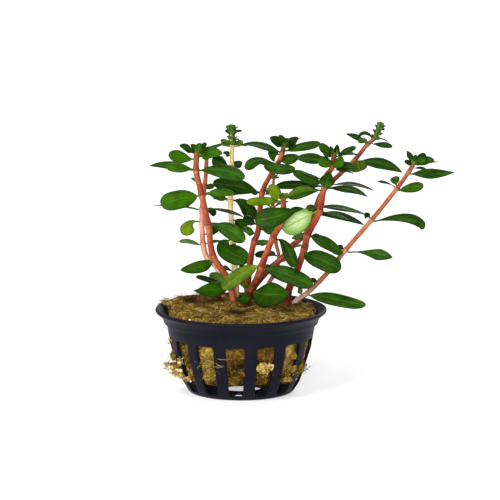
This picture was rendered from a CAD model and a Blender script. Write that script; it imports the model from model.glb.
import bpy
import bmesh
import math
import random
from mathutils import Matrix, Vector, geometry, kdtree, noise


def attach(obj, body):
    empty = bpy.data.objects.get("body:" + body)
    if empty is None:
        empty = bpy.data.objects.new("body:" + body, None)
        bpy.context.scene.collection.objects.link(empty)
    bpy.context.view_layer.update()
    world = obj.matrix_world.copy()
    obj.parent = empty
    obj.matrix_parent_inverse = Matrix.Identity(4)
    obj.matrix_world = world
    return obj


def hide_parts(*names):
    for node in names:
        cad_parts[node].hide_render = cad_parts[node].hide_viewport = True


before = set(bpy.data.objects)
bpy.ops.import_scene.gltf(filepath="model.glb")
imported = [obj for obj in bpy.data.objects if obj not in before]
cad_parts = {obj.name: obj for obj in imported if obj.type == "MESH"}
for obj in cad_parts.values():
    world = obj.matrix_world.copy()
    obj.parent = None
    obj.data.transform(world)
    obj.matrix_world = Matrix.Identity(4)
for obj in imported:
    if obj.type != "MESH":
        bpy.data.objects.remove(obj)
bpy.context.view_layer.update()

# Aquarium stem plant in a net pot. Sizes in the dictionaries are millimetres, and meshes are metres.
mm = 0.001


def deselectAll():
    if bpy.context.mode != "OBJECT":
        bpy.ops.object.mode_set(mode="OBJECT")
    bpy.ops.object.select_all(action="DESELECT")


def pick(piece):
    deselectAll()
    piece.select_set(True)
    bpy.context.view_layer.objects.active = piece


def named(name):  # the piece that an operator has just added
    piece = bpy.context.active_object
    piece.name = name
    piece.data.name = name
    return piece


def modify(piece, kind, **values):
    pick(piece)
    modifier = piece.modifiers.new(kind.title(), kind)
    for key, value in values.items():
        setattr(modifier, key, value)
    bpy.ops.object.modifier_apply(modifier=modifier.name)


def editAll(piece):  # edit mode, with the whole piece selected
    pick(piece)
    bpy.ops.object.mode_set(mode="EDIT")
    bpy.ops.mesh.select_all(action="SELECT")


def copied(source, name):  # a piece of its own, with its own mesh
    piece = source.copy()
    piece.data = source.data.copy()
    piece.name = piece.data.name = name
    piece.parent = None
    bpy.context.collection.objects.link(piece)
    return piece


def placed(name, data):  # a new object for a mesh or a curve
    piece = bpy.data.objects.new(name, data)
    bpy.context.collection.objects.link(piece)
    return piece


def mergeDoubles(piece, distance, recalculate=False):
    editAll(piece)
    bpy.ops.mesh.remove_doubles(threshold=distance)
    if recalculate:
        bpy.ops.mesh.normals_make_consistent(inside=False)
    bpy.ops.object.mode_set(mode="OBJECT")


def joined(pieces, name):
    deselectAll()
    for piece in pieces:
        piece.select_set(True)
    bpy.context.view_layer.objects.active = pieces[0]
    bpy.ops.object.join()
    return named(name)


def finishPiece(piece, material, nodes, smoothAngle=None):
    piece.data.materials.clear()
    piece.data.materials.append(material)
    pick(piece)
    if smoothAngle is None:
        bpy.ops.object.shade_smooth()
    else:
        bpy.ops.object.shade_smooth_by_angle(angle=math.radians(smoothAngle))
    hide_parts(*nodes)
    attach(piece, "root")


def pointValues(piece, name, values):  # a number at each point, for the materials to read
    layer = piece.data.attributes.new(name, "FLOAT", "POINT")
    layer.data.foreach_set("value", values)


def cloudy(piece, name, size, height, depth, middle):  # lumps of a size and a height, in mm
    clouds = bpy.data.textures.new(name, "CLOUDS")
    clouds.noise_scale = size * mm
    clouds.noise_depth = depth
    modify(piece, "DISPLACE", texture=clouds, strength=height * mm, mid_level=middle, texture_coords="LOCAL")


# Camera. It looks along +Y and a little down, and the pot stands in the middle of what it sees.
camera = {
    "aim": (2.93, 0, 46.7),
    "elevation": 10.4,
    "width": 162.8,  # what the frame spans at the aim
    "lens": 500,
    "sensor": 36,
}

away = camera["width"] * camera["lens"] / camera["sensor"] * mm
down = math.radians(camera["elevation"])
spot = Vector(camera["aim"]) * mm + away * Vector((0, -math.cos(down), math.sin(down)))
bpy.ops.object.camera_add(location=spot, rotation=(math.pi / 2 - down, 0, 0))
eye = bpy.context.active_object
eye.data.lens = camera["lens"]
eye.data.sensor_width = camera["sensor"]
eye.data.clip_start = 0.01
bpy.context.scene.camera = eye
print("camera is in place")

# Floor and soft studio light.
studio = {
    "floorSize": 9,
    "floorColour": (0.47, 0.47, 0.475),
    "floorGlow": 0.54,  # light that the paper gives by itself, so that it stays white under the pot
    "skyColour": (0.99, 0.99, 1),
    "skyStrength": 0.5,
    "sun": {"at": (-0.5, -0.75, 0.95), "power": 2.3, "spread": 24},  # spread in degrees, for soft shadows
    "lamps": [
        {"at": (-0.1, -0.9, 0.22), "size": 0.2, "power": 5, "colour": (1, 0.99, 0.97)},
        {"at": (0.25, 0.6, 0.5), "size": 0.5, "power": 3, "colour": (1, 1, 1)},
    ],
}


def makeStudio():
    bpy.ops.mesh.primitive_plane_add(size=studio["floorSize"])
    floor = named("floor")
    paint = bpy.data.materials.new("floorPaper")
    paint.use_nodes = True
    shader = paint.node_tree.nodes["Principled BSDF"]
    shader.inputs["Base Color"].default_value = (*studio["floorColour"], 1)
    shader.inputs["Roughness"].default_value = 0.9
    shader.inputs["Emission Color"].default_value = (1, 1, 1, 1)
    shader.inputs["Emission Strength"].default_value = studio["floorGlow"]
    floor.data.materials.append(paint)
    for lamp in [studio["sun"]] + studio["lamps"]:
        bpy.ops.object.light_add(type="AREA" if "size" in lamp else "SUN", location=lamp["at"])
        light = bpy.context.active_object
        light.data.energy = lamp["power"]
        light.data.color = lamp.get("colour", (1, 1, 1))
        if "size" in lamp:
            light.data.size = lamp["size"]
        else:
            light.data.angle = math.radians(lamp["spread"])
        way = Vector(camera["aim"]) * mm - light.location
        light.rotation_euler = way.to_track_quat("-Z", "Y").to_euler()
    world = bpy.data.worlds.new("studio")
    bpy.context.scene.world = world
    world.use_nodes = True
    sky = world.node_tree.nodes["Background"]
    sky.inputs["Color"].default_value = (*studio["skyColour"], 1)
    sky.inputs["Strength"].default_value = studio["skyStrength"]
    bpy.context.scene.view_settings.view_transform = "Standard"


makeStudio()
print("studio is in place")


# Materials. Each is a short chain of nodes round one Principled shader.
class Graph:
    def __init__(self, name, roughness=0.5, **sockets):
        self.material = bpy.data.materials.new(name)
        self.material.use_nodes = True
        self.tree = self.material.node_tree
        self.shader = self.tree.nodes["Principled BSDF"]
        self.shader.inputs["Roughness"].default_value = roughness
        for key, value in sockets.items():
            self.shader.inputs[key.replace("_", " ")].default_value = value

    def feed(self, socket, value):
        if isinstance(value, bpy.types.NodeSocket):
            self.tree.links.new(value, socket)
        else:
            socket.default_value = value

    def add(self, kind, out, inputs=None, **values):
        node = self.tree.nodes.new(kind)
        for key, value in values.items():
            setattr(node, key, value)
        for key, value in (inputs or {}).items():
            self.feed(node.inputs[key], value)
        return node.outputs[out]

    def place(self):
        return self.add("ShaderNodeTexCoord", "Object")

    def layer(self, name):
        return self.add("ShaderNodeAttribute", "Fac", attribute_name=name)

    def math(self, operation, a, b=0.0, c=0.0):
        return self.add("ShaderNodeMath", 0, {0: a, 1: b, 2: c}, operation=operation)

    def times(self, a, b):
        return self.math("MULTIPLY", a, b)

    def span(self, value, low, high, first=0.0, last=1.0):
        sockets = {"Value": value, "From Min": low, "From Max": high, "To Min": first, "To Max": last}
        return self.add("ShaderNodeMapRange", "Result", sockets, interpolation_type="SMOOTHSTEP")

    def speckle(self, scale, detail=4.0, roughness=0.55, vector=None):
        sockets = {"Vector": vector or self.place(), "Scale": scale, "Detail": detail, "Roughness": roughness}
        return self.add("ShaderNodeTexNoise", "Fac", sockets)

    def blend(self, share, first, second):
        node = self.tree.nodes.new("ShaderNodeMix")
        node.data_type = "RGBA"
        self.feed(node.inputs[0], share)
        self.feed(node.inputs[6], (*first, 1) if isinstance(first, tuple) else first)
        self.feed(node.inputs[7], (*second, 1) if isinstance(second, tuple) else second)
        return node.outputs[2]

    def cover(self, colour, mask, share, paint):  # paint over a colour, up to a share where the mask is full
        return self.blend(self.times(mask, share), colour, paint)

    def ramp(self, value, stops):
        node = self.tree.nodes.new("ShaderNodeValToRGB")
        bar = node.color_ramp
        while len(bar.elements) < len(stops):
            bar.elements.new(0.5)
        for element, (place, colour) in zip(bar.elements, stops):
            element.position = place
            element.color = (*colour, 1)
        self.feed(node.inputs[0], value)
        return node.outputs["Color"]

    def finish(self, colour, rough=None, height=None, depth=0.1, strength=0.5):
        self.feed(self.shader.inputs["Base Color"], colour)
        if rough is not None:
            self.feed(self.shader.inputs["Roughness"], rough)
        if height is not None:
            bump = self.add("ShaderNodeBump", "Normal", {"Height": height, "Strength": strength})
            bump.node.inputs["Distance"].default_value = depth * mm
            self.feed(self.shader.inputs["Normal"], bump)
        return self.material


# Net pot. Walls are (radius, height) from the hole in the floor's middle over the rim and back to the hole.
pot = {
    "outside": [
        (6.9, 0), (7.5, 0), (11.2, 0), (15, 0), (16.1, 0), (16.9, 0.3), (17.4, 0.8), (17.84, 1.5), (18.6, 2.6),
        (19.3, 3.8), (20.5, 7.4), (21.7, 11.1), (22.9, 14.9), (23.3, 17.2), (23.42, 17.8), (23.5, 18.2),
        (23.55, 18.5), (23.9, 20.4), (24.25, 22.4), (24.5, 22.62), (24.95, 22.7), (25.15, 22.9), (25.35, 23.7),
        (25.7, 24.6), (26.6, 25.5), (27.6, 26.25), (27.92, 26.6), (28, 27), (27.9, 27.3), (27.6, 27.48),
        (27.2, 27.5),
    ],
    "inside": [
        (26.85, 27.36), (26, 26.6), (24.9, 25.5), (24.5, 25), (24, 24), (23.1, 21.5), (22.8, 20),
        (22.5, 18.5), (22.45, 18.2), (22.37, 17.8), (22.25, 17.2), (21.8, 14.9), (20.6, 11.1), (19.4, 7.4),
        (18.2, 3.8), (17.4, 2.6), (16.6, 1.5), (16.1, 1.3), (15, 1.3), (11.2, 1.3), (7.5, 1.3),
        (6.9, 1.3), (6.9, 0),
    ],
    "ribs": 14,
    "firstRib": 8,  # degrees from the front towards the right
    "steps": 8,  # columns of faces between two ribs' middles
    "slotHeights": (1.5, 18.5),
    "slotWidths": (4.4, 6.5),
    "slotCorner": 0.8,
    "floorTop": 1.3,
    "floorSlotReach": (7.5, 15),
    "floorSlotWidths": (1.5, 4.3),
    "softEdge": 0.22,
    "softAngle": 38,  # sharper turns than this are softened
}


def drawProfile(points):
    bpy.ops.mesh.primitive_plane_add(size=1 * mm, location=(0, -points[0][0] * mm, points[0][1] * mm))
    bpy.ops.object.transform_apply(location=True, rotation=False, scale=False)
    outline = named("net_pot_smooth")
    editAll(outline)
    bpy.ops.mesh.merge(type="CENTER")
    last = points[0]
    for radius, height in points[1:]:
        step = (0, (last[0] - radius) * mm, (height - last[1]) * mm)
        bpy.ops.mesh.extrude_vertices_move(TRANSFORM_OT_translate={"value": step})
        last = (radius, height)
    bpy.ops.object.mode_set(mode="OBJECT")
    return outline


def slotPart(radius, height):  # whether a place is in the slots of the wall, of the floor or of neither
    low, high = pot["slotHeights"]
    near, far = pot["floorSlotReach"]
    if low - 0.05 < height < high + 0.05 and radius > far + 1.2:
        return "wall"
    return "floor" if near - 0.1 < radius < far + 0.1 and height < pot["floorTop"] + 0.05 else None


def slotHalf(radius, height):  # half a slot's width there, in mm
    if slotPart(radius, height) == "wall":
        low, high = pot["slotHeights"]
        share = (height - low) / (high - low)
        half = pot["slotWidths"][0] / 2 * (1 - share) + pot["slotWidths"][1] / 2 * share
        corner = pot["slotCorner"]
        over = max(0, height - (high - corner))
        under = max(0, low + 0.5 * corner - height) * 2
        return half - corner + math.sqrt(max(0, corner**2 - over**2)) - 0.25 * under
    near, far = pot["floorSlotReach"]
    share = (radius - near) / (far - near)
    return pot["floorSlotWidths"][0] / 2 * (1 - share) + pot["floorSlotWidths"][1] / 2 * share


def makePot(material):
    piece = drawProfile(pot["outside"] + pot["inside"])
    pitch = 2 * math.pi / pot["ribs"]
    start = math.radians(pot["firstRib"])
    editAll(piece)
    bpy.ops.transform.rotate(value=-start, orient_axis="Z", center_override=(0, 0, 0))
    bpy.ops.mesh.spin(steps=pot["steps"], angle=pitch, center=(0, 0, 0), axis=(0, 0, 1))
    mesh = bmesh.from_edit_mesh(piece.data)
    angles = [math.atan2(vertex.co.x, -vertex.co.y) for vertex in mesh.verts if vertex.co.xy.length > mm]
    flip = 1 if max(angles) > start + 0.1 else -1  # which way the spin went
    middle = start + flip * pitch / 2

    def turnOf(point):
        return math.atan2(point.x, -point.y) - middle

    edge = 1.5 * pitch / pot["steps"] + 0.02  # the middles of two columns to each side of the slot's middle
    for vertex in mesh.verts:
        radius, height = vertex.co.xy.length / mm, vertex.co.z / mm
        column = round(turnOf(vertex.co) / (pitch / pot["steps"]))
        if abs(column) == 2 and slotPart(radius, height):
            turn = middle + math.copysign(math.asin(slotHalf(radius, height) / radius), column)
            vertex.co.x = radius * mm * math.sin(turn)
            vertex.co.y = -radius * mm * math.cos(turn)
    for part in ("wall", "floor"):
        bpy.ops.mesh.select_all(action="DESELECT")
        mesh = bmesh.from_edit_mesh(piece.data)
        for face in mesh.faces:
            centre = face.calc_center_median()
            if slotPart(centre.xy.length / mm, centre.z / mm) == part and abs(turnOf(centre)) < edge:
                face.select_set(True)
        bmesh.update_edit_mesh(piece.data)
        bpy.ops.mesh.bridge_edge_loops()
    bpy.ops.mesh.select_all(action="SELECT")
    turns = pot["ribs"] - 1
    bpy.ops.mesh.spin(steps=turns, dupli=True, angle=pitch * turns, center=(0, 0, 0), axis=(0, 0, 1))
    bpy.ops.object.mode_set(mode="OBJECT")
    mergeDoubles(piece, 0.01 * mm, recalculate=True)
    modify(
        piece, "BEVEL", width=pot["softEdge"] * mm, segments=2, limit_method="ANGLE",
        angle_limit=math.radians(pot["softAngle"]),
    )
    finishPiece(piece, material, ["net_pot"], smoothAngle=32)


def potPlastic():
    graph = Graph("potPlastic", roughness=0.38, Specular_IOR_Level=0.07)
    cloud = graph.speckle(90, 3)
    grain = graph.speckle(2600, 2)
    scuffs = graph.span(graph.speckle(420, 6, 0.7), 0.6, 0.75)
    colour = graph.blend(cloud, (0.003, 0.003, 0.009), (0.009, 0.009, 0.016))
    colour = graph.cover(colour, scuffs, 0.2, (0.06, 0.06, 0.075))
    rough = graph.math("ADD", graph.times(cloud, 0.22), graph.times(scuffs, 0.2))
    rough = graph.math("ADD", rough, 0.34)
    height = graph.math("ADD", grain, graph.times(graph.speckle(160, 2), 2.0))
    return graph.finish(colour, rough, height, depth=0.05, strength=0.35)


makePot(potPlastic())
print("net pot is made")

# Mineral wool: the plug's own form, remeshed, with lumps, two dark holes and many loose fibres.
wool = {
    "voxel": 0.42,
    "lumps": [(2.6, 0.9), (0.9, 0.45)],  # (size, height)
    "holes": [
        {"at": (-15.3, 9.5), "size": (1.8, 3.6), "depth": 2.4},
        {"at": (-0.8, -6.5), "size": (2.2, 3.2), "depth": 1.6},
    ],
    # The wool rises over the rim at the left and comes near the wall at the right.
    "mounds": [
        {"at": (-17, 12), "reach": 8.5, "height": 2.4, "spread": 0.1},
        {"at": (20, 11), "reach": 8, "height": 0.9, "spread": 0.16},
    ],
    # Darker patches and, where the last number is negative, paler ones: middle, reach and how much.
    "patches": [
        ((0.5, -20, 11), 6, 0.42), ((9, -19, 6), 5, 0.3), ((8, -20, 17), 3.5, 0.3), ((-17, -14, 14), 3, 0.3),
        ((-10.5, -18, 12), 5, -0.3), ((13, -6, 25), 9, -0.45), ((16, -15, 15), 4, -0.3),
    ],
    "stain": (-13, 7, 28.5),
    "stainReach": 6.5,
    "outside": 0.7,  # how much of a lump is left where it stands out of the wall
    "topFrom": 22,  # from this height up it is the plug's top
    "rimFrom": 27.4,  # up to this height the top keeps the gap to the wall
    "wallGap": 0.9,
    "upperFrom": 20,  # from this height up the mounds and the dark round the holes count
    "fibres": 9600,
    "fibreLength": (0.5, 2.4),
    "fibreWidth": 0.11,
    "hiddenShare": 0.12,  # how thick the fibres stand where the pot hides them
    "sideLength": 0.45,  # how long they are on the side, against those on the top
    # Firm crumbs that bulge out of the slots and over the rim: where, half sizes and how pale.
    "crumbs": [
        ((-19.6, -12, 11.9), (1.1, 0.7, 0.6), 1), ((-22.6, -5.4, 9), (1.3, 1, 0.6), 1),
        ((-24, -4, 9.8), (0.9, 0.7, 0.4), 0.97), ((-20.4, -9.2, 8.4), (1.2, 1, 0.9), 1),
        ((-19.6, -9.8, 7), (1.5, 1, 0.7), 0.9), ((-21.8, -6.8, 6.9), (1.4, 1, 0.7), 0.96),
        ((-21.9, -5, 12.6), (1.1, 1.6, 1.8), 0.62), ((-17.4, -12, 6.4), (1.5, 1, 0.9), 0.75),
        ((7.2, -20.6, 11.7), (2.6, 1.2, 1.8), 0.84), ((9.4, -20.8, 12), (1.2, 1, 1.2), 0.96),
        ((-11.2, -18.6, 15.4), (1.8, 1, 1), 0.72), ((-10.2, -18.6, 12.2), (2, 1.1, 1.3), 0.78),
        ((-10.6, -17.4, 8.2), (1.8, 1.1, 1.4), 0.68), ((0.8, -20.4, 10.4), (1.8, 0.9, 1.4), 0.4),
        ((16.2, -14.6, 10.2), (1.9, 1.1, 1.3), 0.72), ((15, -15.4, 6.8), (1.6, 1, 1), 0.66),
        ((19.6, -8.6, 9.4), (1.1, 1.5, 2.2), 0.55), ((16.8, -15, 14.6), (1.4, 1, 1.4), 0.66),
        ((-22.8, 8.5, 27.3), (2, 2.6, 0.7), 0.78), ((-16.6, -21, 27.5), (0.5, 0.35, 0.15), 1),
    ],
    "crumbSurface": [(1.5, 1.5), (0.5, 0.5)],  # (size, height) of its lumps
    "seed": 12,
    # Loose tufts that hang out of the slots and over the rim: where, which way, how wide at the root, how many
    # fibres and how pale. The last entry, where there is one, takes the place of what tuftForm says.
    "tufts": [
        ((-19.4, -12.2, 12), (-0.6, -0.8, 0.1), 0.9, 60, (0.9, 1)),
        ((-23.4, -4.8, 9.6), (-1, -0.2, 0.4), 1.3, 90, (0.85, 1)),
        ((-20.6, -8.8, 8), (-0.8, -0.6, -0.1), 1.7, 150, (0.75, 1)),
        ((8.2, -21.2, 11.8), (0.2, -1, 0), 1.9, 70, (0.75, 1)),
        ((-23.8, 8.6, 27.5), (-1, 0.1, 0.02), 1.4, 170, (0.6, 0.97),
         {"stray": 0.3, "length": (1, 3.2), "thick": (0.5, 1.2)}),
        ((-18.5, 13.5, 27), (-0.95, 0.3, 0.06), 2.2, 150, (0.5, 0.9),
         {"stray": 0.4, "length": (0.8, 2.4), "thick": (0.5, 1.1)}),
        ((-22.9, -4.6, 17.2), (-0.4, -0.4, 0.8), 0.5, 30, (0.9, 1)),
        ((19.8, -8, 9.4), (0.5, -0.5, 0), 2, 80, (0.4, 0.8)),
        ((-21.6, -5.6, 13), (-0.8, -0.6, 0.1), 1.6, 90, (0.5, 0.9)),
        ((-10.6, -19.2, 12), (0, -1, 0), 3.2, 160, (0.5, 0.95)),
        ((16, -15.6, 10), (0.3, -1, 0), 2.6, 110, (0.5, 0.9)),
    ],
    "tuftForm": {"stray": 0.75, "length": (0.5, 1.9), "thick": (0.8, 2.6)},
    # Strands across a rib, each from one slot to the next.
    "strands": [
        [(-9, -20.4, 14.9), (-3.8, -22.4, 14.7)], [(-9.4, -20, 12), (-5.4, -21.8, 12.5)],
        [(-8.2, -20.6, 13.4), (-6.2, -21.8, 12.2)],
    ],
}


def wallRadius(height):  # the pot's outer wall, from one point of its outline to the next
    for (near, low), (far, high) in zip(pot["outside"][4:], pot["outside"][5:]):
        if low <= height <= high and high > low:
            return near + (far - near) * (height - low) / (high - low)
    return pot["outside"][-1][0]


def holeDistance(point, hole):  # one at the hole's edge
    return math.hypot(*((point.xy[k] / mm - hole["at"][k]) / hole["size"][k] for k in (0, 1)))


def patchDepth(point):  # how much darker the wool is there
    away = [(point / mm - Vector(middle)).length / reach for middle, reach, _ in wool["patches"]]
    return sum(patch[2] * math.exp(-far * far) for far, patch in zip(away, wool["patches"]))


def makeWool(material):
    piece = copied(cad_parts["rockwool_plug"], "rockwool_lumpy")
    mergeDoubles(piece, 0.001 * mm)
    modify(piece, "REMESH", mode="VOXEL", voxel_size=wool["voxel"] * mm)
    modify(piece, "SMOOTH", iterations=4, factor=0.5)
    for size, height in wool["lumps"]:
        cloudy(piece, "woolLumps", size, height, 3, 0.55)
    dark = []
    for vertex in piece.data.vertices:
        deep = patchDepth(vertex.co)
        wall = wallRadius(vertex.co.z / mm)
        far = vertex.co.xy.length / mm
        if vertex.co.z < wool["topFrom"] * mm and far > wall:
            shrunk = (wall + (far - wall) * wool["outside"]) / far
            vertex.co.x *= shrunk
            vertex.co.y *= shrunk
        for hole in wool["holes"]:
            far = holeDistance(vertex.co, hole)
            if vertex.co.z > wool["topFrom"] * mm:
                deep = max(deep, math.exp(-far * far))
                vertex.co.z -= hole["depth"] * math.exp(-far * far) * mm
        if vertex.co.z > wool["upperFrom"] * mm:
            for mound in wool["mounds"]:
                share = math.exp(-(math.dist(vertex.co.xy / mm, mound["at"]) / mound["reach"]) ** 2)
                vertex.co.z += mound["height"] * share * mm
                vertex.co.xy *= 1 + mound["spread"] * share
            if vertex.co.z < wool["rimFrom"] * mm:
                inside = wallRadius(vertex.co.z / mm) - wool["wallGap"]
                vertex.co.xy *= min(1, inside * mm / max(vertex.co.xy.length, mm))
        dark.append(deep)
    pointValues(piece, "hole", dark)
    finishPiece(piece, material, ["rockwool_plug"])
    return piece


def fibreAt(build, tone, root, way, normal, length, shade, bend, lift, thick=1):
    side = way.cross(normal).normalized()
    rings = []
    for k in range(3):
        share = k / 2
        point = root + way * length * share + side * bend * length * share * (1 - share) * 0.8
        point += normal * (lift * math.sin(math.pi * share) * 0.5 - 0.06) * mm * 2
        wide = wool["fibreWidth"] * thick * mm * (1 - 0.5 * share)
        rings.append([
            build.verts.new(point + side * wide * 0.5),
            build.verts.new(point - side * wide * 0.5),
            build.verts.new(point + normal * wide * 0.7 / thick),
        ])
        for vertex in rings[-1]:
            vertex[tone] = shade
    for low, high in zip(rings, rings[1:]):
        for k in range(3):
            build.faces.new((low[k], low[(k + 1) % 3], high[(k + 1) % 3], high[k]))
    build.faces.new(rings[0][::-1])
    build.faces.new(rings[-1])


def anyWay(chance, spread=1):
    return Vector([chance.gauss(0, spread) for _ in range(3)])


def makeFibres(plug, material):
    chance = random.Random(wool["seed"])
    spots = list(plug.data.polygons)
    sums = []
    total = 0
    for face in spots:
        shown = face.center.z > 23 * mm or face.center.xy.length / mm > 17
        total += face.area * (1 if shown else wool["hiddenShare"])
        sums.append(total)
    build = bmesh.new()
    tone = build.verts.layers.float.new("tone")
    stain = Vector(wool["stain"]) * mm
    for face in chance.choices(spots, cum_weights=sums, k=wool["fibres"]):
        place = face.center
        far = place.xy.length / mm
        under = place.z < 5 * mm and face.normal.z < -0.3
        behindCollar = 18 * mm < place.z < 25 * mm and far > 20
        if under or behindCollar:  # nothing of it is seen there
            continue
        normal = face.normal.copy()
        way = normal.cross(anyWay(chance)).normalized()
        way = (way + normal * chance.uniform(-0.05, 0.35)).normalized()
        length = chance.uniform(*wool["fibreLength"]) * mm
        if far > 18 and place.z < wool["topFrom"] * mm:
            length *= wool["sideLength"]
        shade = chance.uniform(0, 0.9) + 0.6 * noise.noise(place * 260) + 0.6 * noise.noise(place * 800)
        shade -= 0.5 * math.exp(-(((place - stain).length / mm / wool["stainReach"]) ** 2))
        deep = patchDepth(place)
        shade -= deep * (1 if deep > 0 else 0.4)
        for hole in wool["holes"]:
            near = holeDistance(place, hole)
            if place.z > wool["upperFrom"] * mm and near < 2:
                shade -= 1.6 * math.exp(-(near**2) / 2)
                length *= 0.3 + 0.3 * near
        bend, lift = chance.uniform(-0.9, 0.9), chance.uniform(0.05, 0.5)
        fibreAt(build, tone, place, way, normal, length, max(0, min(1, shade)), bend, lift)
    for middle, towards, spread, count, pale, *own in wool["tufts"]:
        form = {**wool["tuftForm"], **dict(*own)}
        for _ in range(count):
            offset = anyWay(chance, 0.5) * spread
            way = (Vector(towards) + anyWay(chance, form["stray"])).normalized()
            normal = way.cross(anyWay(chance)).normalized()
            length = chance.uniform(*form["length"]) * mm
            root = (Vector(middle) + offset) * mm
            shade = chance.uniform(*pale) if chance.random() > 0.12 else 0.1  # a few are dark crumbs
            bend, lift = chance.uniform(-1.2, 1.2), chance.uniform(-0.3, 0.6)
            fibreAt(build, tone, root, way, normal, length, shade, bend, lift, chance.uniform(*form["thick"]))
    for ends in wool["strands"]:
        for _ in range(3):
            root, end = (Vector(point) + anyWay(chance, 0.16) for point in ends)
            way = (end - root).normalized()
            normal = (Vector((0, -1, 0)) - way * way.dot(Vector((0, -1, 0)))).normalized()
            bend = chance.uniform(-0.15, 0.15)
            fibreAt(build, tone, root * mm, way, normal, (end - root).length * mm, 0.93, bend, 1.1, 0.8)
    mesh = bpy.data.meshes.new("rockwool_fibres")
    build.to_mesh(mesh)
    build.free()
    finishPiece(placed("rockwool_fibres", mesh), material, ["rockwool_plug"])


def makeCrumbs(material):
    parts = []
    for place, half, pale in wool["crumbs"]:
        bpy.ops.mesh.primitive_ico_sphere_add(subdivisions=4, radius=1 * mm, location=Vector(place) * mm)
        crumb = named("crumb")
        bpy.ops.transform.resize(value=half)
        bpy.ops.object.transform_apply(location=True, rotation=False, scale=True)
        for size, height in wool["crumbSurface"]:
            cloudy(crumb, "crumbLumps", size, height, 2, 0.55)
        pointValues(crumb, "tone", [pale] * len(crumb.data.vertices))
        parts.append(crumb)
    finishPiece(joined(parts, "rockwool_crumbs"), material, ["rockwool_plug"])


def woolFluff():
    graph = Graph("woolFluff", roughness=0.95, Specular_IOR_Level=0.05)
    patches = graph.speckle(230, 4, 0.6)
    strands = graph.speckle(1100, 6, 0.75)
    mixed = graph.math("ADD", graph.times(patches, 0.5), graph.times(strands, 0.55))
    mixed = graph.math("SUBTRACT", mixed, graph.times(graph.layer("hole"), 0.2))
    colour = graph.ramp(mixed, [
        (0.4, (0.018, 0.008, 0.002)), (0.47, (0.085, 0.045, 0.006)), (0.55, (0.21, 0.125, 0.018)),
        (0.65, (0.44, 0.3, 0.07)),
    ])
    pits = graph.span(graph.speckle(620, 4, 0.7), 0.42, 0.3)
    colour = graph.cover(colour, pits, 0.85, (0.03, 0.015, 0.006))
    away = graph.add("ShaderNodeVectorMath", "Value", {
        0: graph.place(), 1: Vector(wool["stain"]) * mm,
    }, operation="DISTANCE")
    colour = graph.cover(colour, graph.span(away, 0.0075, 0.001), 0.75, (0.085, 0.035, 0.01))
    colour = graph.blend(graph.layer("hole"), colour, (0.02, 0.01, 0.004))
    return graph.finish(colour, None, strands, depth=0.5, strength=0.8)


def woolStrand():
    graph = Graph("woolStrand", roughness=0.7, Specular_IOR_Level=0.08)
    grain = graph.speckle(1300, 5, 0.7)
    tone = graph.math("ADD", graph.layer("tone"), graph.span(grain, 0.3, 0.56, -0.55, 0.02))
    colour = graph.ramp(tone, [
        (0, (0.018, 0.008, 0.002)), (0.35, (0.1, 0.055, 0.007)), (0.68, (0.26, 0.16, 0.025)),
        (0.86, (0.48, 0.34, 0.09)), (1, (0.88, 0.72, 0.36)),
    ])
    return graph.finish(colour, None, grain, depth=0.3, strength=0.6)


plug = makeWool(woolFluff())
strandSkin = woolStrand()
makeFibres(plug, strandSkin)
makeCrumbs(strandSkin)
print("mineral wool is made")


# Stems, from the root up. A path point is (right, back, up). A leaf is at a height on its stem, its reach is
# the way from the stem's middle to its tip, and face is how far its upper side turns to the front, in degrees.
# Rise lifts its line at a third and two thirds, and via gives that line's two bends instead. Above is a way up
# the growing tip. Shade is how bright the leaf is, and young how fresh its green is. The small leaves belong to
# the stem's own piece, with its growing tip, and the large ones are pieces of their own.
def leaf(at, reach, width, face, blade="oval", **more):
    return {"at": at, "reach": reach, "width": width, "face": face, "blade": blade, **more}


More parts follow.
